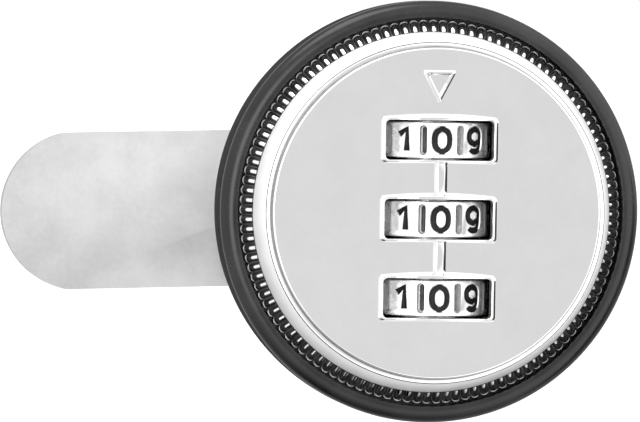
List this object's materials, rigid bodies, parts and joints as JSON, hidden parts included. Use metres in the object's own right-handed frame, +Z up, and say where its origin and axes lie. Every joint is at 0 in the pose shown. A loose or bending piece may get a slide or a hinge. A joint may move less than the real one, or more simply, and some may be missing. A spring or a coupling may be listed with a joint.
{
  "type": "combination lock",
  "caption": "Round combination cam lock: chrome knob with knurled band and stacked number dials in windows, black bezel, threaded barrel with nut, and a flat cam behind.",
  "frame": {"origin": "centre of the seat that the bezel makes on the panel, on the lock's axis", "axes": "+Y runs along the lock's axis through the panel to the cam, +Z is up, the cam points to -X"},
  "size_m": [0.0736, 0.0382, 0.05],
  "materials": {
    "bezel_black": "semi-gloss moulded black",
    "chrome": "bright chrome plate",
    "dial_chrome": "bright chrome plate",
    "carrier_black": "moulded black",
    "zinc_casting": "plated zinc die casting",
    "cam_zinc": "zinc-plated flat steel",
    "plated_steel": "bright zinc plate",
    "plain_steel": "ground steel",
    "spring_steel": "spring steel",
    "hub_brass": "turned brass",
    "bar_brass": "pressed brass"
  },
  "bodies": {
    "lock_body": {"base_bezel": "bezel_black", "body_casting": "zinc_casting", "tooth_washer": "plated_steel", "mounting_nut": "plated_steel"},
    "knob_unit": {"knob": "chrome", "dial_carrier": "carrier_black", "dial_axle": "plain_steel", "axle_clips": "spring_steel", "click_spring": "spring_steel", "spindle": "zinc_casting", "plate_screws": "plated_steel", "retaining_ring": "spring_steel", "stop_washer": "plated_steel", "cam": "cam_zinc", "cam_washer": "spring_steel", "cam_screw": "plated_steel", "bar_springs": "spring_steel"},
    "dial_top_unit": {"dial_top": "dial_chrome", "hub_top": "hub_brass"},
    "dial_middle_unit": {"dial_middle": "dial_chrome", "hub_middle": "hub_brass"},
    "dial_bottom_unit": {"dial_bottom": "dial_chrome", "hub_bottom": "hub_brass"},
    "bar_unit": {"locking_bar": "bar_brass"}
  },
  "joints": [
    {"name": "knob_turn", "type": "hinge", "parent": "lock_body", "child": "knob_unit", "pos_m": [0, 0, 0], "axis": [0, 1, 0], "range_deg": [0, 90]},
    {"name": "dial_top_turn", "type": "hinge", "parent": "knob_unit", "child": "dial_top_unit", "pos_m": [0, -0.011, 0.0086], "axis": [0, 0, 1], "continuous": true, "deforming": ["click_spring"]},
    {"name": "dial_middle_turn", "type": "hinge", "parent": "knob_unit", "child": "dial_middle_unit", "pos_m": [0, -0.011, -0.0007], "axis": [0, 0, 1], "continuous": true, "deforming": ["click_spring"]},
    {"name": "dial_bottom_turn", "type": "hinge", "parent": "knob_unit", "child": "dial_bottom_unit", "pos_m": [0, -0.011, -0.01], "axis": [0, 0, 1], "continuous": true, "deforming": ["click_spring"]},
    {"name": "bar_slide", "type": "slide", "parent": "knob_unit", "child": "bar_unit", "axis": [-1, 0, 0], "range_m": [0, 0.0012], "deforming": ["bar_springs"]}
  ],
  "couplings": [
    {"joint": "bar_slide", "follows": "knob_turn", "m_per_rad": 0.00076394}
  ]
}
